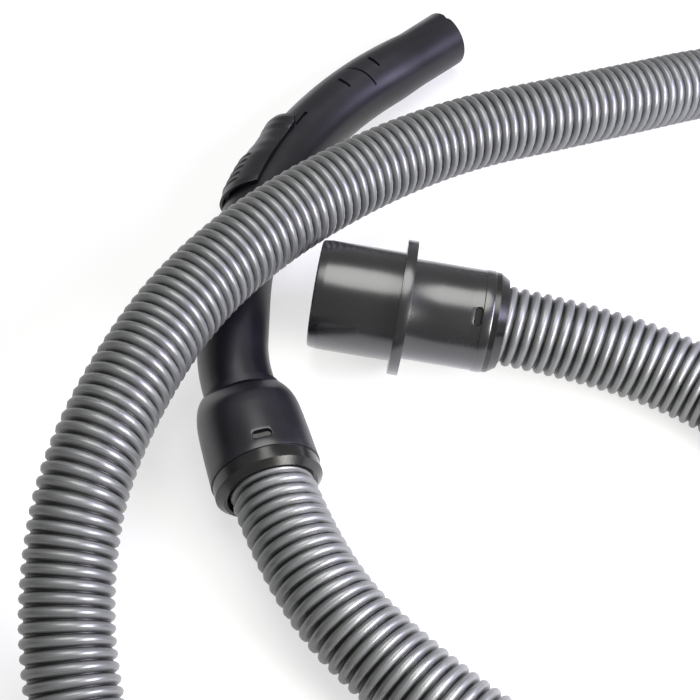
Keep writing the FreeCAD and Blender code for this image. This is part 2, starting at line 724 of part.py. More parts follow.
class Path:
    """Straight runs joined by tangent arcs, each arc as large as its two runs allow."""

    def __init__(self, points):
        self.pieces = []
        start = points[0]
        for before, corner, after in zip(points, points[1:], points[2:]):
            into, out = (corner - before), (after - corner)
            reach = 0.45 * min(into.Length, out.Length)
            turn = into.getAngle(out)
            radius = reach / math.tan(turn / 2)
            into, out = into.normalize(), out.normalize()
            arc_start = corner - into * reach
            across = (out - into * into.dot(out)).normalize()
            self.pieces.append(("line", start, into, (arc_start - start).Length))
            self.pieces.append(("arc", arc_start, into, radius * turn, across, radius))
            start = corner + out * reach
        out = (points[-1] - start).normalize()
        self.pieces.append(("line", start, out, (points[-1] - start).Length))
        self.length = sum(piece[3] for piece in self.pieces)
        self.radii = [piece[5] for piece in self.pieces if piece[0] == "arc"]

    def at(self, distance):
        """Point and direction after `distance` along the path."""
        for piece in self.pieces[:-1]:
            if distance <= piece[3]:
                break
            distance -= piece[3]
        else:
            piece = self.pieces[-1]
        start, heading = piece[1], piece[2]
        if piece[0] == "line":
            return start + heading * distance, heading
        across, radius = piece[4], piece[5]
        angle = distance / radius
        point = start + heading * (radius * math.sin(angle)) + across * (radius * (1 - math.cos(angle)))
        return point, heading * math.cos(angle) + across * math.sin(angle)


hose_path = Path(ROUTE)
print("hose length", round(hose_path.length), "mm; arc radii", [round(r) for r in hose_path.radii])
rib_total = round(hose_path.length / size.rib_spacing.value)
rib_step = hose_path.length / rib_total


def ring(distance, radius):
    """A circle square to the path, its X axis as near to upright as it can be."""
    centre, heading = hose_path.at(min(distance, hose_path.length))
    upright = (Vector(0, 0, 1) - heading * heading.z).normalize()
    side = heading.cross(upright)
    place = FreeCAD.Matrix(
        upright.x, side.x, heading.x, centre.x,
        upright.y, side.y, heading.y, centre.y,
        upright.z, side.z, heading.z, centre.z,
        0, 0, 0, 1,
    )
    circle = Part.makeCircle(radius)
    circle.Placement = Placement(place)
    return Part.Wire([circle])


def hose_stretch(name, first, last):
    """Ribs `first` to `last` of the hose, cut in the middle of a land at both ends.  The bore has a circle wherever
    a rib stands up, so that inside and outside bend at the same places and the wall keeps its thickness.
    """
    root, crest, bore = (number.value / 2 for number in (size.hose_root, size.hose_outer, size.hose_bore))
    foot_reach, crest_reach = size.rib_foot.value / 2, size.rib_crest.value / 2
    start, end = first * rib_step, last * rib_step
    outside, inside = [ring(start, root)], [ring(start, bore)]
    for number in range(first, last):
        middle = (number + 0.5) * rib_step
        outside += [
            ring(middle - foot_reach, root),
            ring(middle - crest_reach, crest),
            ring(middle + crest_reach, crest),
            ring(middle + foot_reach, root),
        ]
        inside += [ring(middle - foot_reach, bore), ring(middle + foot_reach, bore)]
    outside.append(ring(end, root))
    inside.append(ring(end, bore))
    hose = doc.addObject("Part::Feature", name)
    hose.Label = name
    hose.Shape = Part.makeLoft(outside, True, True).cut(Part.makeLoft(inside, True, True))
    return hose


HOSE_SHARES = (0.07, 0.42, 0.68)
joins = [0] + [round(rib_total * share) for share in HOSE_SHARES] + [rib_total]
hoses = [
    hose_stretch(name, first, last)
    for name, first, last in zip(("hose_grip_end", "hose_outer_loop", "hose_bridge", "hose_inner_loop"), joins, joins[1:])
]
doc.recompute()

PARTS = [
    hand_grip, slide, cuff, cuff_ring, felt, grip_bush,
    *hoses,
    machine_bush, machine_ring, gasket, machine,
]
for thing in doc.Objects:
    if "Invalid" in thing.State or "Error" in thing.State:
        raise RuntimeError(f"{thing.Label} failed: {thing.State}")
os.makedirs("parts", exist_ok=True)
ends = FreeCAD.BoundBox()
for part in PARTS:
    shape = part.Shape
    if shape.isNull() or not shape.isValid() or not shape.Solids:
        raise RuntimeError(f"{part.Label} has no valid solid")
    shape.exportStep(f"parts/{part.Label}.step")
    box = shape.optimalBoundingBox(False)
    print(f"{part.Label:22s} solids {len(shape.Solids)}  volume {shape.Volume:9.0f}  lowest {box.ZMin:7.2f}")
    if part not in hoses:
        ends.add(box)
print("middle of the two ends", ends.Center)
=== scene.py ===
# %% [markdown]
# # The hose of a vacuum cleaner
#
# The object is a ribbed suction hose between a bent hand grip and a machine connector.  An engineering
# model of it is loaded first and never changed: it says where every piece is, in metres, and which pieces
# move together.  This lesson dresses it: it models the hose anew with its real ribs, rounds the edges of
# the plastic mouldings, adds their small details and gives every surface its finish.

# %% Loading the engineering model
import json
import math

import bpy
import numpy as np
from mathutils import Matrix, Vector


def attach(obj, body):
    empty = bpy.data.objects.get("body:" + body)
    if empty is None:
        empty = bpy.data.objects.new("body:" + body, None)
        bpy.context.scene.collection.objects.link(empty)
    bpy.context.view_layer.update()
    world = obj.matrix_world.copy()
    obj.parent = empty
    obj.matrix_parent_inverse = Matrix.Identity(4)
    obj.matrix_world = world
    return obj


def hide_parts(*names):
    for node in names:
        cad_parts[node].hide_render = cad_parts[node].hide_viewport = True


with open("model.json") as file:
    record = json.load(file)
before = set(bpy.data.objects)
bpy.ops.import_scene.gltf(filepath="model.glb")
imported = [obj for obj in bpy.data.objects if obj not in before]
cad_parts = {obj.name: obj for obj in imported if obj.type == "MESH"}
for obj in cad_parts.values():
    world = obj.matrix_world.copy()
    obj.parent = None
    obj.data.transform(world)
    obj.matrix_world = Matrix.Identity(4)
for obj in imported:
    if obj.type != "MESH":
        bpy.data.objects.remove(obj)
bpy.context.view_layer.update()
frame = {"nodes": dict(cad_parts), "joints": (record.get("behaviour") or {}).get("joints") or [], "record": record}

MM = 0.001
JOINTS = {joint["name"]: joint for joint in frame["joints"]}
print("nodes:", ", ".join(sorted(frame["nodes"])))

# %% [markdown]
# ## The camera
#
# The photograph was taken from above at a steep angle with a fairly long lens, so the hose hardly grows
# towards the viewer.  Three values settle such a camera: how far down it looks, where it stands, and its
# focal length.  They were matched to the width of the hose at several places in the picture, because a
# hose is equally thick everywhere.

# %% The camera
IMAGE_SIDE = 700
FOCAL_LENGTH_IN_PIXELS = 1270
SENSOR = 36
LOOKING_DOWN = 54
CAMERA_PLACE = Vector((-1.7, -473.9, 559.1)) * MM

camera_data = bpy.data.cameras.new("camera")
camera_data.sensor_width = SENSOR
camera_data.lens = SENSOR * FOCAL_LENGTH_IN_PIXELS / IMAGE_SIDE
camera = bpy.data.objects.new("camera", camera_data)
camera.location = CAMERA_PLACE
camera.rotation_euler = (math.radians(90 - LOOKING_DOWN), 0, 0)
bpy.context.collection.objects.link(camera)
bpy.context.scene.camera = camera
bpy.context.scene.view_settings.view_transform = "Standard"
print("lens:", round(camera_data.lens, 1), "mm")

# %% [markdown]
# ## The two fittings as guides
#
# The details on the fittings are placed by their own measures: how far along the axis, how far round it.
# The joints of the engineering model give these axes, because the cuff turns round the grip's axis and
# the connector round its own.  The third joint is the centre of the grip's big bend.

# %% Guides along the fittings
UP = Vector((0, 0, 1))
grip_face = Vector(JOINTS["cuff_swivel"]["pos_m"])
grip_axis = Vector(JOINTS["cuff_swivel"]["axis"])
connector_face = Vector(JOINTS["connector_swivel"]["pos_m"])
connector_axis = Vector(JOINTS["connector_swivel"]["axis"])
bend_centre = Vector(JOINTS["regulator_slide"]["pos_m"])
bend_up = -Vector(JOINTS["regulator_slide"]["axis"])
bend_side = bend_up.cross(grip_axis)
BEND_RADIUS = 245 * MM
PIPE_RADIUS = 18.5 * MM
print("from the grip's face to the connector's:", round((connector_face - grip_face).length, 3), "m")

# %% [markdown]
# ## The line of the hose
#
# A hose lies in wide, easy curves, because it resists bending.  A NURBS curve of order 3 does the same:
# it takes a few listed points and passes near them without ever turning sharply.  The
# points start inside the grip's cuff, go round a large outer loop, over the hand grip, round a smaller
# loop that climbs over the first one, and end inside the connector.  Where two stretches cross, the
# points rise and fall slowly, as a hose does.

# %% The line of the hose
HOSE_SEAT = 34 * MM
HOSE_LEAD = 43 * MM
LINE_FINENESS = 24
SAME_PLACE = 1e-7

PLACES_IN_MM = [
    (31, -272, 21), (109, -326, 21), (208, -336, 21), (307, -300, 21), (398, -221, 21), (447, -108, 21),
    (431, 16, 21), (354, 103, 21), (247, 130, 22), (145, 81, 40), (33, 35, 54), (-72, -62, 70),
    (-119, -169, 71), (-128, -238, 46), (-114, -301, 22), (-73, -366, 21), (9, -412, 21), (106, -411, 40),
    (190, -362, 65), (238, -278, 65), (244, -188, 40), (197, -115, 21),
]
hose_route = [grip_face + grip_axis * HOSE_SEAT, grip_face - grip_axis * HOSE_LEAD]
hose_route += [Vector(place) * MM for place in PLACES_IN_MM]
hose_route += [connector_face - connector_axis * HOSE_LEAD, connector_face + connector_axis * HOSE_SEAT]

line_data = bpy.data.curves.new("hose_line", "CURVE")
line_data.dimensions = "3D"
line_data.resolution_u = LINE_FINENESS
line_spline = line_data.splines.new("NURBS")
line_spline.points.add(len(hose_route) - 1)
for point, place in zip(line_spline.points, hose_route):
    point.co = (*place, 1)
line_spline.order_u = 3
line_spline.use_endpoint_u = True
line = bpy.data.objects.new("hose_line", line_data)
bpy.context.collection.objects.link(line)
bpy.context.view_layer.update()
line_mesh = bpy.data.meshes.new_from_object(line)
hose_line = np.array([vertex.co for vertex in line_mesh.vertices])
bpy.data.objects.remove(line)
steps = np.linalg.norm(np.diff(hose_line, axis=0), axis=1)
hose_line = hose_line[np.append(True, steps > SAME_PLACE)]
travelled = np.append(0, np.cumsum(np.linalg.norm(np.diff(hose_line, axis=0), axis=1)))
HOSE_LENGTH = travelled[-1]
print("hose line:", len(hose_line), "points,", round(HOSE_LENGTH, 3), "m")

# %% [markdown]
# ## A frame that follows the line
#
# To put a circle square to the line anywhere along it, we need two directions across the line that don't
# spin as it bends.  Each step takes the last direction and removes whatever part of it points along the
# new heading.  That is the simplest frame that doesn't twist, and it lets the rib wind at a steady rate,
# as it left the machine.

# %% Directions across the line
headings = np.gradient(hose_line, travelled, axis=0)
headings /= np.linalg.norm(headings, axis=1)[:, None]
across = np.zeros_like(headings)
direction = np.array([0.0, 0.0, 1.0])
for number, heading in enumerate(headings):
    direction = direction - heading * direction.dot(heading)
    direction /= np.linalg.norm(direction)
    across[number] = direction
print("directions:", len(across), "pairs")


def on_line(distances, values):
    """Values given at the points of the line, read at other distances along it."""
    return np.stack([np.interp(distances, travelled, values[:, axis]) for axis in range(3)], axis=-1)


# %% [markdown]
# ## The ribs
#
# The hose is a flat plastic strip with a raised edge, wound into a tube, so it has a single rib that
# winds round it as a left-handed screw.  We build the mesh the same way.  Its rows follow the screw:
# going once round the hose, a row moves along by one pitch and joins the next turn.  The rib's profile is
# a short list of places within one pitch and their radii: a flat land, a steep side, a rounded crest and
# a steep side down again.  The bore is a plain tube.

# %% The rib's profile
HOSE_RADIUS = 21 * MM
LAND_RADIUS = 18.6 * MM
BORE_RADIUS = 17.4 * MM
RIB_PITCH = 5.9 * MM
SIDES = 26
BORE_STEP = 12 * MM
RIB_PROFILE = [
    (0.00, LAND_RADIUS),
    (0.09, LAND_RADIUS + 0.2 * MM),
    (0.17, LAND_RADIUS + 1.15 * MM),
    (0.27, HOSE_RADIUS - 0.45 * MM),
    (0.50, HOSE_RADIUS),
    (0.73, HOSE_RADIUS - 0.45 * MM),
    (0.83, LAND_RADIUS + 1.15 * MM),
    (0.91, LAND_RADIUS + 0.2 * MM),
]


# %% [markdown]
# A point of the hose is given by its distance along the line, its radius and its angle.  Both directions
# across the line are read between its points, so that rings can stand anywhere, and not only where the
# line has a point.

# %% Points round the line
def tube_points(distances, radii, angles):
    """Points at these distances along the line, radii from it and angles round it."""
    centre, heading, upward = (on_line(distances, values) for values in (hose_line, headings, across))
    heading /= np.linalg.norm(heading, axis=-1, keepdims=True)
    sideways = np.cross(heading, upward)
    outward = np.cos(angles)[..., None] * upward + np.sin(angles)[..., None] * sideways
    return centre + radii[..., None] * outward


# %% [markdown]
# The rows of the outside meet its two ends at a slant, because the screw does.  Points that would lie
# past an end are put on that end's ring instead, which is square to the line.

# %% Rows that follow the screw
PER_TURN = len(RIB_PROFILE)
profile_places, profile_radii = np.array(RIB_PROFILE).T
row = np.arange((math.ceil(HOSE_LENGTH / RIB_PITCH) + 2) * PER_TURN)
column = np.arange(SIDES + 1)
phase = profile_places[row % PER_TURN] + row // PER_TURN
distance = (phase[:, None] - column / SIDES) * RIB_PITCH
before, after = distance <= 0, distance >= HOSE_LENGTH
radius = np.where(before | after, LAND_RADIUS, profile_radii[row % PER_TURN][:, None])
distance = np.clip(distance, 0, HOSE_LENGTH)
angle = np.broadcast_to(column / SIDES * math.tau, distance.shape)
outside = tube_points(distance[:, :SIDES], radius[:, :SIDES], angle[:, :SIDES])
hose_points = list(outside.reshape(-1, 3))


def add_ring(at, radius):
    """Adds a ring of points square to the line, and says which is its first."""
    first = len(hose_points)
    ring_angle = np.arange(SIDES) / SIDES * math.tau
    hose_points.extend(tube_points(np.full(SIDES, at), np.full(SIDES, radius), ring_angle))
    return first


start_ring = add_ring(0, LAND_RADIUS)
stop_ring = add_ring(HOSE_LENGTH, LAND_RADIUS)
print("outside:", len(row), "rows of", SIDES, "points")

# %% [markdown]
# Faces join neighbouring rows and columns.  The column after the last is the first one again, a turn
# farther on.  At the ends, corners of a face can fall together, and a face with fewer than three
# different corners is left out.  Each corner also notes its place on the strip: the share of the length,
# and the share of the way round.

# %% The outside of the hose
hose_faces = []
strip_places = []


def corner(i, j):
    """The point at a row and column, and its place on the strip.  Rows past an end share its ring."""
    place = (distance[i, j] / HOSE_LENGTH, j / SIDES)
    if j == SIDES:
        i, j = max(i - PER_TURN, 0), 0
    if before[i, j]:
        return start_ring + j, place
    if after[i, j]:
        return stop_ring + j, place
    return i * SIDES + j, place


def add_face(corners):
    """Adds a face without the corners that repeat, if at least three are left."""
    kept = [c for k, c in enumerate(corners) if c[0] != corners[k - 1][0]]
    if len({c[0] for c in kept}) > 2:
        hose_faces.append([c[0] for c in kept])
        strip_places.extend(c[1] for c in kept)


for i in range(len(row) - 1):
    for j in range(SIDES):
        add_face([corner(i, j), corner(i, j + 1), corner(i + 1, j + 1), corner(i + 1, j)])
print("outside:", len(hose_faces), "faces")

# %% [markdown]
# The bore needs no ribs, so its rings stand farther apart.  One more strip of faces at each end joins it
# to the outside and closes the wall.

# %% The bore of the hose
bore_steps = round(HOSE_LENGTH / BORE_STEP)
bore = [add_ring(HOSE_LENGTH * k / bore_steps, BORE_RADIUS) for k in range(bore_steps + 1)]
strips = [(start_ring, bore[0], 0)]
strips += [(first, second, k) for k, (first, second) in enumerate(zip(bore, bore[1:]))]
strips.append((bore[-1], stop_ring, bore_steps))
for first, second, k in strips:
    along = k / bore_steps
    for j in range(SIDES):
        n = (j + 1) % SIDES
        here, there = (along, j / SIDES), (along, (j + 1) / SIDES)
        add_face([(first + j, here), (second + j, here), (second + n, there), (first + n, there)])
print("bore:", len(bore), "rings")

# %% [markdown]
# Points past the ends belong to no face, so the mesh takes only those that a face uses.  The places on
# the strip become its UV map.

# %% The mesh of the hose
used = sorted({index for face in hose_faces for index in face})
renumber = {old: new for new, old in enumerate(used)}
hose_faces = [[renumber[index] for index in face] for face in hose_faces]
hose_mesh = bpy.data.meshes.new("hose")
hose_mesh.from_pydata([hose_points[index] for index in used], [], hose_faces)
strip_map = hose_mesh.uv_layers.new(name="strip")
strip_map.data.foreach_set("uv", np.array(strip_places, np.float32).ravel())
hose_mesh.polygons.foreach_set("use_smooth", [True] * len(hose_mesh.polygons))
hose_mesh.update()
hose = bpy.data.objects.new("hose", hose_mesh)
bpy.context.collection.objects.link(hose)
print("hose:", len(hose_mesh.polygons), "faces,", round(HOSE_LENGTH / RIB_PITCH), "turns of its rib")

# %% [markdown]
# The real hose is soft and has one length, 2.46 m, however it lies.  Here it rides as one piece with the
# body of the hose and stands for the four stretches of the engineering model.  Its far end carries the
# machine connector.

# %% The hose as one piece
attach(hose, "hose")
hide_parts("hose_grip_end", "hose_outer_loop", "hose_bridge", "hose_inner_loop")
print("cord:", round(HOSE_LENGTH, 2), "m of hose,", round(2 * HOSE_RADIUS / MM), "mm across its ribs")

# %% [markdown]
# ## Turned mouldings
#
# The cuff and the connector are round all over, apart from their latch windows.  They could be built from
# stacked cylinders, but the wall and its inner steps would then be separate bodies.  A lathe's way is
# better: one vertex is extruded along the outline of the wall, outside and inside, until it meets its
# start, and the outline is spun once round the axis.  Each piece is drawn along its own X axis, which
# starts at the face where the hose leaves it.

# %% An outline spun into a solid wall
SAME_POINT = 0.001 * MM


def clear_selection():
    """Operators act on all that is selected, so each piece starts with nothing selected."""
    bpy.ops.object.select_all(action="DESELECT")


def turned(name, outline, sides):
    """The wall between the points of a closed outline, each its place along X and its radius in mm."""
    clear_selection()
    first = outline[0]
    bpy.ops.mesh.primitive_plane_add(size=MM, location=(first[0] * MM, 0, first[1] * MM))
    piece = bpy.context.object
    piece.name = piece.data.name = name
    bpy.ops.object.mode_set(mode="EDIT")
    bpy.ops.mesh.select_mode(type="VERT")
    bpy.ops.mesh.merge(type="CENTER")
    for (along, radius), (next_along, next_radius) in zip(outline, outline[1:] + [first]):
        step = ((next_along - along) * MM, 0, (next_radius - radius) * MM)
        bpy.ops.mesh.extrude_region_move(TRANSFORM_OT_translate={"value": step})
    bpy.ops.mesh.select_all(action="SELECT")
    bpy.ops.mesh.spin(steps=sides, angle=math.tau, center=(0, 0, 0), axis=(1, 0, 0))
    bpy.ops.mesh.select_all(action="SELECT")
    bpy.ops.mesh.remove_doubles(threshold=SAME_POINT)
    bpy.ops.mesh.normals_make_consistent(inside=False)
    bpy.ops.object.mode_set(mode="OBJECT")
    bpy.ops.object.transform_apply(location=True, rotation=False, scale=False)
    return piece


# %% [markdown]
# Each housing has two latch windows, above and below, where the tabs of its snap ring show.  One flat bar
# with rounded edges, pushed right through, cuts both.  A bevel almost half as wide as the bar makes its
# ends round.

# %% Latch windows
WINDOW_LENGTH = 9.6 * MM
WINDOW_WIDTH = 4.2 * MM
WINDOW_END = 0.49 * WINDOW_WIDTH
WINDOW_END_STEPS = 7
BAR_REACH = 30 * MM


def apply_modifier(piece, kind, **settings):
    """Adds a modifier with these settings and applies it."""
    modifier = piece.modifiers.new(kind.lower(), kind)
    for name, value in settings.items():
        setattr(modifier, name, value)
    with bpy.context.temp_override(object=piece, active_object=piece, selected_objects=[piece]):
        bpy.ops.object.modifier_apply(modifier=modifier.name)


def cut_latch_windows(piece, along):
    """Cuts the two windows at a place along X with one bar that stands out on both sides."""
    clear_selection()
    bpy.ops.mesh.primitive_cube_add(size=WINDOW_WIDTH, location=(along, 0, 0))
    bar = bpy.context.object
    bpy.ops.object.mode_set(mode="EDIT")
    bpy.ops.mesh.select_all(action="SELECT")
    bpy.ops.transform.resize(value=(1, WINDOW_LENGTH / WINDOW_WIDTH, 2 * BAR_REACH / WINDOW_WIDTH))
    bpy.ops.mesh.select_mode(type="EDGE")
    bpy.ops.mesh.select_all(action="DESELECT")
    bpy.ops.object.mode_set(mode="OBJECT")
    for edge in bar.data.edges:
        low, high = (bar.data.vertices[number].co for number in edge.vertices)
        edge.select = abs(low.z - high.z) > BAR_REACH
    bpy.ops.object.mode_set(mode="EDIT")
    bpy.ops.mesh.bevel(offset=WINDOW_END, segments=WINDOW_END_STEPS)
    bpy.ops.object.mode_set(mode="OBJECT")
    apply_modifier(piece, "BOOLEAN", operation="DIFFERENCE", object=bar, solver="EXACT")
    bpy.data.objects.remove(bar)


# %% [markdown]
# A turned piece is finished in two steps.  Its sharp edges get a small rounding, because no mould leaves
# them sharp and a rounded edge catches the light.  Then its mesh, and not the object, is moved to its
# place along the real axis.

# %% Rounding and placing
EDGE_ANGLE = math.radians(28)           # only edges sharper than this are rounded
EDGE_STEPS = 2
SMOOTH_ANGLE = math.radians(40)         # edges up to this angle are shaded away


def round_edges(piece, width, steps, angle):
    """Rounds the edges of a piece that are sharper than the angle."""
    apply_modifier(piece, "BEVEL", width=width, segments=steps, limit_method="ANGLE", angle_limit=angle)


def smooth(piece, angle):
    """Shades a piece smooth, apart from the edges that are sharper than the angle."""
    clear_selection()
    piece.select_set(True)
    bpy.context.view_layer.objects.active = piece
    bpy.ops.object.shade_smooth_by_angle(angle=angle)


def set_in_place(piece, face, axis, up, edge):
    """Rounds the sharp edges of a piece that was drawn along X, and moves its mesh to where it belongs."""
    round_edges(piece, edge, EDGE_STEPS, EDGE_ANGLE)
    side = up.cross(axis)
    place = Matrix((axis, side, up)).transposed().to_4x4()
    place.translation = face
    piece.data.transform(place)
    smooth(piece, SMOOTH_ANGLE)


# %% [markdown]
# ### The swivel cuff
#
# The cuff is a slightly tapered barrel that closes over the grip's pipe in a soft shoulder.  Its edge
# isn't square to the pipe: it is cut back on top, so that the hand slides over it.  We turn the barrel
# first and then slant its shoulder, more and more towards the edge, by moving each ring's points along
# the axis by their height.

# %% The swivel cuff
CUFF_OUTLINE = [
    (9.6, 27.2), (13.5, 27.1), (20.5, 27.0), (28, 26.85), (36, 26.6), (42, 26.25), (46.5, 25.7),
    (50, 25.0), (53, 24.2), (55.6, 23.2), (57.8, 22.1), (59.6, 20.9), (60.8, 19.9), (61.3, 19.3),
    (61.2, 18.9), (57.5, 18.8), (57.5, 20.7), (38, 20.7), (38, 23.75), (9.6, 23.75),
]
CUFF_SIDES = 112
CUFF_EDGE = 0.35 * MM
CUFF_WINDOW_AT = 17 * MM
SLANT_START = 38 * MM
SLANT_END = 61.3 * MM
SLANT = math.tan(math.radians(23))


def eased(share):
    """0 to 1 with a soft start and a soft end."""
    share = min(max(share, 0), 1)
    return share * share * (3 - 2 * share)


cuff = turned("cuff", CUFF_OUTLINE, CUFF_SIDES)
for vertex in cuff.data.vertices:
    shoulder = eased((vertex.co.x - SLANT_START) / (SLANT_END - SLANT_START))
    vertex.co.x -= SLANT * shoulder * vertex.co.z
cut_latch_windows(cuff, CUFF_WINDOW_AT)
set_in_place(cuff, grip_face, grip_axis, bend_up, CUFF_EDGE)
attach(cuff, "grip_swivel")
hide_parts("swivel_cuff")
print("cuff:", len(cuff.data.polygons), "faces")

# %% [markdown]
# ### The machine connector
#
# The connector is one moulding: a sleeve over the latch ring with a thin band at its end, a flange that
# stops it at the machine, and the spigot.  The spigot's last few millimetres are drawn in a little, so
# that it finds its way into the machine.  It is turned in one go like the cuff, because its flange and
# band are only steps in the same outline.  Inside, the throat narrows to the hose's bore and opens again
# to the spigot.

# %% The machine connector
CONNECTOR_OUTLINE = [
    (7.4, 26.7), (8.1, 26.9), (12.2, 26.9), (12.6, 26.55), (18.5, 26.5), (34, 26.5), (49.5, 26.5),
    (49.5, 35.5), (54.9, 35.5), (54.9, 28.7), (72, 28.7), (93.6, 28.7), (94.2, 28.55), (97.6, 28.1),
    (98.4, 27.3), (98.4, 26.4), (61.5, 26.3), (52.5, 18), (40.5, 18), (40.5, 23.75), (7.4, 23.75),
]
CONNECTOR_SIDES = 120
CONNECTOR_EDGE = 0.45 * MM
CONNECTOR_WINDOW_AT = 14.6 * MM
CONNECTOR_ROLL = math.radians(-34)

level_up = (UP - connector_axis * UP.dot(connector_axis)).normalized()
connector_up = Matrix.Rotation(CONNECTOR_ROLL, 3, connector_axis) @ level_up
connector = turned("connector", CONNECTOR_OUTLINE, CONNECTOR_SIDES)
cut_latch_windows(connector, CONNECTOR_WINDOW_AT)
set_in_place(connector, connector_face, connector_axis, connector_up, CONNECTOR_EDGE)
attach(connector, "connector")
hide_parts("machine_connector")
print("connector:", len(connector.data.polygons), "faces")

# %% [markdown]
# ### Marks on the grip
#
# A thin groove and two short dashes cross the top of the grip, and a guide groove for the slide runs on
# past it.  They could be painted on, but real grooves also catch the light.  A place on the bent pipe is
# given by its turn round the bend and how far round the pipe it is, up from the outside of the bend.

# %% Places of the marks
GROOVES = {
    # name: half width, then the turn and the place round the pipe in degrees at its start, middle and end
    "lower dash": (1.1 * MM, (56.5, 79), (56.5, 94), (56.5, 108)),
    "ring line": (0.65 * MM, (59.3, 70), (60.1, 99), (60.4, 134)),
    "upper dash": (1.1 * MM, (62.8, 76), (62.8, 92), (62.8, 107)),
    "guide groove": (1.0 * MM, (45.5, 88), (47, 87), (48.4, 86)),
}


def on_pipe(turn, round_pipe, radius):
    """A point over the bent pipe, at a radius from the pipe's own middle line."""
    turn, round_pipe = math.radians(turn), math.radians(round_pipe)
    outwards = grip_axis * math.sin(turn) + bend_side * math.cos(turn)
    normal = outwards * math.cos(round_pipe) + bend_up * math.sin(round_pipe)
    return bend_centre + outwards * BEND_RADIUS + normal * radius


print("marks:", ", ".join(GROOVES))

# %% [markdown]
# Each cutter is a curve over the surface with round thickness, made a mesh.  It passes through three
# places on the pipe, and its line is sunk a little below the surface.

# %% Cutters for the grooves
GROOVE_STEPS = 12
GROOVE_ROUNDNESS = 4


def groove_cutter(name, half_width, sink, start, middle, end):
    """A round tube along the arc through three places on the pipe, made a mesh."""
    data = bpy.data.curves.new(name, "CURVE")
    data.dimensions = "3D"
    data.bevel_depth = half_width
    data.bevel_resolution = GROOVE_ROUNDNESS
    data.use_fill_caps = True
    spline = data.splines.new("POLY")
    spline.points.add(GROOVE_STEPS)
    for number, point in enumerate(spline.points):
        share = number / GROOVE_STEPS
        weights = ((1 - share) * (1 - 2 * share), 4 * share * (1 - share), share * (2 * share - 1))
        turn = sum(weight * place[0] for weight, place in zip(weights, (start, middle, end)))
        round_pipe = sum(weight * place[1] for weight, place in zip(weights, (start, middle, end)))
        point.co = (*on_pipe(turn, round_pipe, PIPE_RADIUS - sink), 1)
    curve = bpy.data.objects.new(name, data)
    bpy.context.collection.objects.link(curve)
    bpy.context.view_layer.update()
    cutter = bpy.data.objects.new(name, bpy.data.meshes.new_from_object(curve))
    bpy.context.collection.objects.link(cutter)
    bpy.data.objects.remove(curve)
    return cutter


# %% [markdown]
# The grip's shape is right as it is, so a copy of its mesh is enough.  Each groove is cut twice, the
# second time deeper, which gives it steep sides and round ends and keeps it dark.  The rails for the
# slide end where the slide does, so what is left of them farther on is pressed down into the pipe.

# %% The grip with its grooves
GROOVE_SINKS = (0.15 * MM, 0.95 * MM)
RAILS_STOP = 46.5                       # turn along the bend, degrees
RAIL_LOW = PIPE_RADIUS + 0.1 * MM       # between these radii a point belongs to a rail
RAIL_HIGH = PIPE_RADIUS + 1.5 * MM
PRESSED_RADIUS = PIPE_RADIUS - 0.03 * MM
COPY_SMOOTH_ANGLE = math.radians(32)


def merged_copy(node, name):
    """A copy of a node of the engineering model with its loose triangles joined into one surface."""
    copy = bpy.data.objects.new(name, frame["nodes"][node].data.copy())
    bpy.context.collection.objects.link(copy)
    clear_selection()
    copy.select_set(True)
    bpy.context.view_layer.objects.active = copy
    bpy.ops.object.mode_set(mode="EDIT")
    bpy.ops.mesh.select_all(action="SELECT")
    bpy.ops.mesh.remove_doubles(threshold=SAME_POINT)
    bpy.ops.mesh.customdata_custom_splitnormals_clear()
    bpy.ops.object.mode_set(mode="OBJECT")
    return copy


grip = merged_copy("hand_grip", "grip")
for name, (half_width, start, middle, end) in GROOVES.items():
    for sink in GROOVE_SINKS:
        cutter = groove_cutter(name, half_width, sink, start, middle, end)
        apply_modifier(grip, "BOOLEAN", operation="DIFFERENCE", object=cutter, solver="EXACT")
        bpy.data.objects.remove(cutter)
for vertex in grip.data.vertices:
    place = vertex.co - bend_centre
    height = place.dot(bend_up)
    flat = place - bend_up * height
    from_middle = math.hypot(flat.length - BEND_RADIUS, height)
    turn = math.degrees(math.atan2(flat.dot(grip_axis), flat.dot(bend_side)))
    if turn > RAILS_STOP and RAIL_LOW < from_middle < RAIL_HIGH:
        middle = bend_centre + flat.normalized() * BEND_RADIUS
        vertex.co = middle + (vertex.co - middle) * PRESSED_RADIUS / from_middle
smooth(grip, COPY_SMOOTH_ANGLE)
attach(grip, "hose")
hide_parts("hand_grip")
print("grip:", len(grip.data.polygons), "faces")

# %% [markdown]
# ### The regulator slide
#
# The slide is a shell that bends both ways, round the pipe and along the pipe's own bend.  It could be
# carved from a block, but it is easier to draw it flat and wrap it: a flat slab gets its thumb stop, its
# dish and its ridges, and then its length becomes the turn along the bend, its width the place round the
# pipe, and its height the distance from the pipe.  Underneath it has a lip along each side, which runs
# outside the rails of the grip.

# %% The height of the slab
SLIDE_PROFILE = (
    # share of the length, height over the pipe in mm
    (0, 3.1), (0.08, 3.5), (0.4, 3.7), (0.55, 3.1), (0.68, 2.5),
    (0.78, 2.7), (0.87, 3.7), (0.94, 4.3), (1, 3.7),
)
RIDGES = (0.12, 0.2, 0.28, 0.36, 0.44)          # shares of the length
RIDGE_HALF_WIDTH = 0.022
RIDGE_HEIGHT = 0.75
RIDGES_REACH = (-30, 52)                        # round the pipe, degrees
RIDGE_ENDS = 4                                  # degrees that a ridge takes to rise from its end


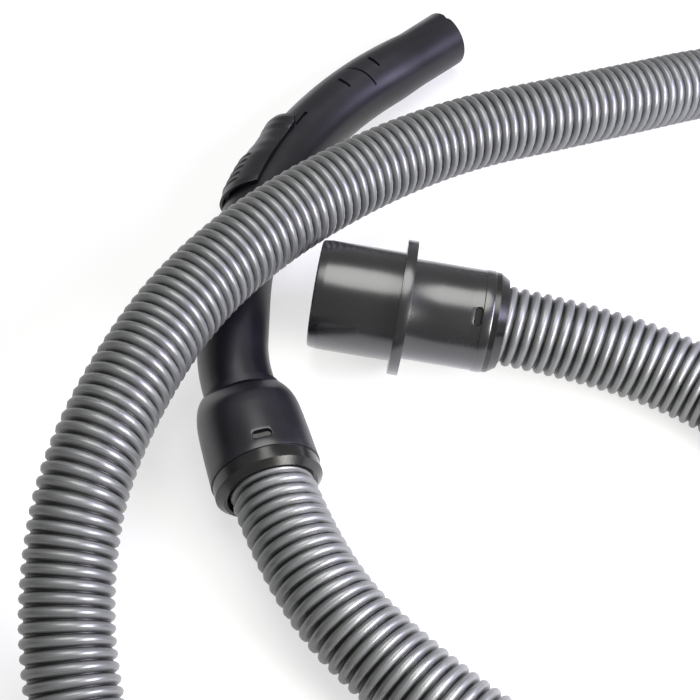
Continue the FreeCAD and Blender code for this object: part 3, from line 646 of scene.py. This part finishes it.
def slide_height(share, round_pipe):
    """How far the slide's outside is from the pipe, in mm."""
    for (start, low), (stop, high) in zip(SLIDE_PROFILE, SLIDE_PROFILE[1:]):
        if start <= share <= stop:
            height = low + (high - low) * eased((share - start) / (stop - start))
    nearest = min(abs(share - ridge) for ridge in RIDGES)
    start, stop = RIDGES_REACH
    inside = eased((round_pipe - start) / RIDGE_ENDS) * eased((stop - round_pipe) / RIDGE_ENDS)
    return height + RIDGE_HEIGHT * eased(1 - nearest / RIDGE_HALF_WIDTH) * inside


print("slide:", len(RIDGES), "ridges, highest at", max(height for share, height in SLIDE_PROFILE), "mm")

# %% [markdown]
# The slab is a fine grid from -1 to 1 both ways, pushed down once to give it a lower side.  Then every
# point is wrapped.  The lower end bows out in its middle, and the upper end is a little narrower than the
# rest, as on the real slide.

# %% The regulator slide
SLAB_CELLS = (126, 88)
SLAB_DEPTH = 1
SLIDE_STARTS, SLIDE_STOPS = 33.4, 46.4          # along the bend, degrees
SLIDE_MIDDLE, SLIDE_HALF_WIDTH = 20, 66         # round the pipe, degrees
SLIDE_BOW = 1.8                                 # the lower end's middle stands out by this, degrees
NARROWS_AT = 0.9                                # share of the length
NARROWS_BY = 0.1                                # share of the width
SLIDE_UNDER = 1.2                               # the slide's inside over the pipe, in mm
LIP_UNDER = 0.4
LIP_WIDTH = 8                                   # degrees
SLIDE_EDGE = 0.5 * MM
SLIDE_EDGE_STEPS = 3
SLIDE_EDGE_ANGLE = math.radians(60)

clear_selection()
bpy.ops.mesh.primitive_grid_add(x_subdivisions=SLAB_CELLS[0], y_subdivisions=SLAB_CELLS[1], size=2)
slide = bpy.context.object
slide.name = slide.data.name = "slide"
bpy.ops.object.mode_set(mode="EDIT")
bpy.ops.mesh.select_all(action="SELECT")
bpy.ops.mesh.extrude_region_move(TRANSFORM_OT_translate={"value": (0, 0, -SLAB_DEPTH)})
bpy.ops.mesh.select_all(action="SELECT")
bpy.ops.mesh.normals_make_consistent(inside=False)
bpy.ops.object.mode_set(mode="OBJECT")
for vertex in slide.data.vertices:
    share = min(max((vertex.co.x + 1) / 2, 0), 1)
    across_slab = vertex.co.y
    narrowing = 1 - NARROWS_BY * eased((share - NARROWS_AT) / (1 - NARROWS_AT)) * abs(across_slab)
    round_pipe = SLIDE_MIDDLE + SLIDE_HALF_WIDTH * across_slab * narrowing
    bow = SLIDE_BOW * (1 - share) * (1 - across_slab ** 2)
    turn = SLIDE_STARTS + (SLIDE_STOPS - SLIDE_STARTS) * share - bow
    if vertex.co.z < -SLAB_DEPTH / 2:
        lip = abs(across_slab) * SLIDE_HALF_WIDTH > SLIDE_HALF_WIDTH - LIP_WIDTH
        height = LIP_UNDER if lip else SLIDE_UNDER
    else:
        height = slide_height(share, round_pipe)
    vertex.co = on_pipe(turn, round_pipe, PIPE_RADIUS + height * MM)
round_edges(slide, SLIDE_EDGE, SLIDE_EDGE_STEPS, SLIDE_EDGE_ANGLE)
smooth(slide, SMOOTH_ANGLE)
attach(slide, "suction_slide")
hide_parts("suction_slide")
print("slide:", len(slide.data.polygons), "faces")

# %% [markdown]
# ### The latch rings
#
# A snap ring holds each swivel together: its two tabs spring into the latch windows.  The rings are
# glossy, so the flat facets of their engineering shapes would show.  The shapes are right otherwise, so
# merged copies are enough, with their shading made smooth.

# %% The latch rings
latch_rings = []
for node, body in (("cuff_latch_ring", "grip_swivel"), ("connector_latch_ring", "connector")):
    ring = merged_copy(node, node.replace("latch_ring", "ring"))
    smooth(ring, COPY_SMOOTH_ANGLE)
    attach(ring, body)
    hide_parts(node)
    latch_rings.append(ring)
print("rings:", ", ".join(ring.name for ring in latch_rings))

# %% [markdown]
# ## Finishes
#
# Almost every surface here is a plastic, and what tells one from another is its colour, how it was
# moulded and how much it has been handled.  Colours are written as on a colour card and turned into the
# linear numbers that light is computed with.  Patterns are sized in real millimetres, so that a grain is
# as fine on the large connector as on the small slide.  Small functions add the nodes and their links,
# which keeps each finish readable as a short list.

# %% Colours and nodes
def linear(card):
    """A colour written as #rrggbb, as linear numbers."""
    shares = [int(card[k:k + 2], 16) / 255 for k in (1, 3, 5)]
    return (*(s / 12.92 if s <= 0.04045 else ((s + 0.055) / 1.055) ** 2.4 for s in shares), 1)


def add_node(tree, kind, settings=None, inputs=None):
    """Adds a node.  Each input gets a value, or the output of another node."""
    node = tree.nodes.new("ShaderNode" + kind)
    for name, value in (settings or {}).items():
        setattr(node, name, value)
    for name, value in (inputs or {}).items():
        if isinstance(value, bpy.types.NodeSocket):
            tree.links.new(value, node.inputs[name])
        else:
            node.inputs[name].default_value = value
    return node


def calculated(tree, operation, *values):
    """The result of a Math node on numbers or on the outputs of other nodes."""
    return add_node(tree, "Math", {"operation": operation}, dict(enumerate(values))).outputs[0]


def blended(tree, share, first, second):
    """A colour between two, more like the second the larger the share is."""
    return add_node(tree, "Mix", {"data_type": "RGBA"}, {0: share, 6: first, 7: second}).outputs[2]


def spread(tree, value, from_range, to_range, ease="LINEAR"):
    """A value that runs through the first range, as one that runs through the second."""
    inputs = dict(enumerate((value, *from_range, *to_range)))
    return add_node(tree, "MapRange", {"interpolation_type": ease}, inputs).outputs[0]


def add_relief(tree, surface, pattern, strength, depth):
    """Tilts the light by a pattern, as if it were this deep."""
    relief = add_node(tree, "Bump", inputs={"Height": pattern, "Strength": strength, "Distance": depth})
    tree.links.new(relief.outputs[0], surface.inputs["Normal"])


def new_finish(name, **settings):
    """A material with the settings that are the same all over its surface."""
    material = bpy.data.materials.new(name)
    material.use_nodes = True
    surface = material.node_tree.nodes["Principled BSDF"]
    for setting, value in settings.items():
        surface.inputs[setting.replace("_", " ")].default_value = value
    return material, material.node_tree, surface


# %% [markdown]
# ### The hose: soft PVC strip, coloured silver-grey, wound and welded hot
#
# The strip carries fine aluminium powder, so it is grey with a slight metallic sheen.  It leaves its die
# with lines along its length, which run round the hose and break its highlights into streaks.  The land
# between the ribs is painted dark, as painted shade.  The mesh's UV map says how far along the hose and
# how far round it a point is, and from these two the place within one turn of the strip follows: 0 in the
# middle of the land, one half on the crest.

# %% The finish of the hose
STREAK_WIDTH = 0.55 * MM                # the real lines are about 0.1 mm, too fine to show
STREAK_TURNS = 0.6
STREAK_DEPTH = 0.12 * MM
STREAK_STRENGTH = 0.35
STREAK_NOISE = (0.3, 0.7)               # a noise seldom leaves this range
STREAK_GREYS = (linear("#565856"), linear("#8d8f8d"))
STREAK_ROUGHNESS = (0.3, 0.46)
# painted shade: the colour of the land between the ribs, darker than the strip
PAINTED_RIB_SHADE = linear("#161615")
RIB_SHADE_ENDS = (0.05, 0.2)                # places within a turn, between which the painted shade thins out


def wound_pvc():
    """Silver-grey PVC: streaks along the strip, and painted shade between the ribs."""
    material, tree, surface = new_finish("silver_pvc_strip_wound_hot", IOR=1.53, Metallic=0.45)
    strip = add_node(tree, "UVMap", {"uv_map": "strip"})
    place = add_node(tree, "SeparateXYZ", inputs={0: strip.outputs[0]}).outputs
    turns = calculated(tree, "MULTIPLY", place[0], HOSE_LENGTH / RIB_PITCH)
    winding = calculated(tree, "ADD", turns, place[1])
    crest = calculated(tree, "PINGPONG", winding, 0.5)
    out_of_rib_shade = spread(tree, crest, RIB_SHADE_ENDS, (0.0, 1.0), "SMOOTHSTEP")
    across_strip = calculated(tree, "FRACT", winding)
    lines = calculated(tree, "MULTIPLY", across_strip, RIB_PITCH / STREAK_WIDTH)
    stretched = calculated(tree, "MULTIPLY", turns, 1 / STREAK_TURNS)
    where = add_node(tree, "CombineXYZ", inputs={0: lines, 1: stretched}).outputs[0]
    noise = add_node(tree, "TexNoise", inputs={"Vector": where, "Scale": 1.0, "Detail": 2.0})
    streaks = noise.outputs["Fac"]
    streaked_grey = blended(tree, streaks, *STREAK_GREYS)
    # painted shade: the land between the ribs is coloured dark
    colour = blended(tree, out_of_rib_shade, PAINTED_RIB_SHADE, streaked_grey)
    tree.links.new(colour, surface.inputs["Base Color"])
    dull = spread(tree, streaks, STREAK_NOISE, STREAK_ROUGHNESS)
    tree.links.new(dull, surface.inputs["Roughness"])
    add_relief(tree, surface, streaks, STREAK_STRENGTH, STREAK_DEPTH)
    return material


# %% [markdown]
# ### The mouldings
#
# The grip is polypropylene, black with a trace of violet, from a mould whose walls were spark-eroded,
# which leaves a fine even grain and a satin shine.  The connector is a very dark ABS from the same kind
# of mould, a little smoother and with a film of polish on it.  The two latch rings are acetal from a
# polished mould: glossy, slippery, and quick to show fingerprints.  All these are one recipe with other
# settings: a base colour that varies a little, a grain, and patches that hands have polished.

# %% The finishes of the mouldings
PATCH_WIDTH = 28 * MM
PATCH_NOISE = (0.35, 0.65)
POLISH_ROUGHNESS = 0.24
TEXTURE_STRENGTH = 0.5


def moulded(name, dark, light, shine, grain, depth, wax=0.0):
    """A moulded plastic.  Shine is its lowest and highest roughness, grain the width and depth the height
    of its texture, and wax says how much of it a film of polish covers."""
    material, tree, surface = new_finish(name, IOR=1.54, Coat_Weight=wax, Coat_Roughness=POLISH_ROUGHNESS)
    where = add_node(tree, "TexCoord").outputs["Object"]
    patches = add_node(tree, "TexNoise", inputs={"Vector": where, "Scale": 1 / PATCH_WIDTH, "Detail": 4.0})
    colour = blended(tree, patches.outputs["Fac"], linear(dark), linear(light))
    tree.links.new(colour, surface.inputs["Base Color"])
    polished = spread(tree, patches.outputs["Fac"], PATCH_NOISE, shine)
    tree.links.new(polished, surface.inputs["Roughness"])
    texture = add_node(tree, "TexNoise", inputs={"Vector": where, "Scale": 1 / grain, "Detail": 1.0})
    add_relief(tree, surface, texture.outputs["Fac"], TEXTURE_STRENGTH, depth)
    return material


# %% [markdown]
# The seal between the grip and the bush is felt.  It hardly shows, but it has its own finish: coarse
# noise, bent out of its pattern, looks like matted fibres.

# %% The finish of the felt ring
FIBRE_WIDTH = 0.4 * MM
FIBRE_DEPTH = 0.2 * MM
FIBRE_STRENGTH = 0.8


def pressed_felt():
    """Grey wool felt: matted fibres with no direction."""
    material, tree, surface = new_finish("grey_wool_felt_pressed", Roughness=0.95, Sheen_Weight=0.3)
    where = add_node(tree, "TexCoord").outputs["Object"]
    matted = {"Vector": where, "Scale": 1 / FIBRE_WIDTH, "Detail": 5.0, "Distortion": 2.0}
    fibres = add_node(tree, "TexNoise", inputs=matted).outputs["Fac"]
    colour = blended(tree, fibres, linear("#5b5b58"), linear("#a3a29d"))
    tree.links.new(colour, surface.inputs["Base Color"])
    add_relief(tree, surface, fibres, FIBRE_STRENGTH, FIBRE_DEPTH)
    return material


# %% [markdown]
# Each slot of the engineering model gets its finish.  It goes on the nodes that stay as they are and on
# the pieces made here, so that the two bushes, the gasket and the felt match their neighbours.

# %% Finishes on the pieces
FINISHES = {
    "hose_plastic": wound_pvc(),
    "grip_plastic": moulded(
        "black_polypropylene_fine_grain", "#09090c", "#121019", (0.31, 0.4), 0.8 * MM, 0.03 * MM,
    ),
    "connector_plastic": moulded(
        "dark_grey_abs_satin_waxed", "#0a0a0b", "#101011", (0.24, 0.31), 0.8 * MM, 0.02 * MM, wax=0.9,
    ),
    "ring_plastic": moulded("black_acetal_polished", "#0a0a0a", "#161613", (0.16, 0.36), 3 * MM, 0.01 * MM),
    "bush_plastic": moulded(
        "charcoal_polypropylene_moulded", "#202122", "#2b2c2d", (0.4, 0.5), 0.6 * MM, 0.02 * MM,
    ),
    "gasket": moulded("black_rubber_moulded", "#141414", "#1d1d1c", (0.6, 0.75), 0.5 * MM, 0.04 * MM),
    "felt": pressed_felt(),
}
for subpart in frame["record"]["subparts"]:
    for slot in frame["nodes"][subpart["node"]].material_slots:
        slot.material = FINISHES[subpart["material_slot"]]
NEW_PIECES = (
    (hose, "hose_plastic"),
    (grip, "grip_plastic"),
    (cuff, "grip_plastic"),
    (connector, "connector_plastic"),
    (slide, "grip_plastic"),
    *((ring, "ring_plastic") for ring in latch_rings),
)
for piece, slot_name in NEW_PIECES:
    piece.data.materials.clear()
    piece.data.materials.append(FINISHES[slot_name])
print("finishes:", ", ".join(finish.name for finish in FINISHES.values()))

# %% [markdown]
# ## Floor and light
#
# The photograph has a white ground, burnt out apart from the soft shadows close to the pieces.  The floor
# is pale grey board.  For the camera, and for what mirrors in gloss, it also glows, which lifts it to
# paper white but keeps its shadows.  Farther out the glow grows until floor and sky are both white.

# %% The floor
FLOOR_SIZE = 12
FLOOR_GLOW = 0.68
GLOW_GROWS = (0.6, 1.6)                 # metres from the middle, between which it grows to full white


def seen_or_mirrored(tree, mirrored=1.0):
    """1 where the camera looks, directly or through glass, the value given where it looks in gloss, and 0
    where only light is carried."""
    light_path = add_node(tree, "LightPath").outputs
    gloss = calculated(tree, "MULTIPLY", light_path["Is Glossy Ray"], mirrored)
    direct = calculated(tree, "MAXIMUM", light_path["Is Camera Ray"], gloss)
    return calculated(tree, "MAXIMUM", direct, light_path["Is Transmission Ray"])


bpy.ops.mesh.primitive_plane_add(size=FLOOR_SIZE, location=(0, 0, 0))
floor = bpy.context.object
floor.name = "floor"
board, board_tree, board_surface = new_finish(
    "pale_grey_board_matt", Base_Color=linear("#a0a0a0"), Roughness=0.9, Emission_Color=linear("#ffffff"),
)
seen = seen_or_mirrored(board_tree)
place = add_node(board_tree, "TexCoord").outputs["Object"]
distance = add_node(board_tree, "VectorMath", {"operation": "LENGTH"}, {0: place})
fade = spread(board_tree, distance.outputs["Value"], GLOW_GROWS, (FLOOR_GLOW, 1.0), "SMOOTHSTEP")
glow = calculated(board_tree, "MULTIPLY", seen, fade)
board_tree.links.new(glow, board_surface.inputs["Emission Strength"])
floor.data.materials.append(board)
print("floor:", FLOOR_SIZE, "m wide")

# %% [markdown]
# Three soft lamps light the object: a cool one to the right, as a window would, which draws the highlight
# along the grip; a wide neutral one overhead, which draws the broad highlight along the connector; and a
# small one close in front on the right, where the hose is brightest.

# %% The lamps
LAMPS = (
    # name, place in metres, width in metres, power in watts, colour
    ("window", (0.62, -0.22, 0.44), 0.46, 9.5, "#ddd7ff"),
    ("overhead", (0.04, 0.06, 1.0), 0.8, 8.5, "#fffffc"),
    ("front", (0.38, -0.43, 0.3), 0.26, 3.8, "#fffdf6"),
)


def add_lamp(name, place, size, power, card):
    """A round soft lamp that points at the middle of the object."""
    data = bpy.data.lights.new(name, "AREA")
    data.shape = "DISK"
    data.size = size
    data.energy = power
    data.color = linear(card)[:3]
    lamp = bpy.data.objects.new(name, data)
    lamp.visible_camera = False
    lamp.location = place
    lamp.rotation_euler = Vector(place).to_track_quat("Z", "Y").to_euler()
    bpy.context.collection.objects.link(lamp)


for lamp_settings in LAMPS:
    add_lamp(*lamp_settings)
print("lamps:", ", ".join(settings[0] for settings in LAMPS))

# %% [markdown]
# The sky gives hardly any light, so that the lamps draw the shapes.  Looked at directly it is white, and
# black gloss mirrors about a third of that, as the walls of a room would look in it.

# %% The sky
SKY_LEVEL = 0.06
SKY_IN_GLOSS = 0.35

sky = bpy.data.worlds.new("sky")
bpy.context.scene.world = sky
sky.use_nodes = True
sky.node_tree.nodes["Background"].inputs["Color"].default_value = linear("#ffffff")
seen = seen_or_mirrored(sky.node_tree, SKY_IN_GLOSS)
level = spread(sky.node_tree, seen, (0.0, 1.0), (SKY_LEVEL, 1.0))
sky.node_tree.links.new(level, sky.node_tree.nodes["Background"].inputs["Strength"])
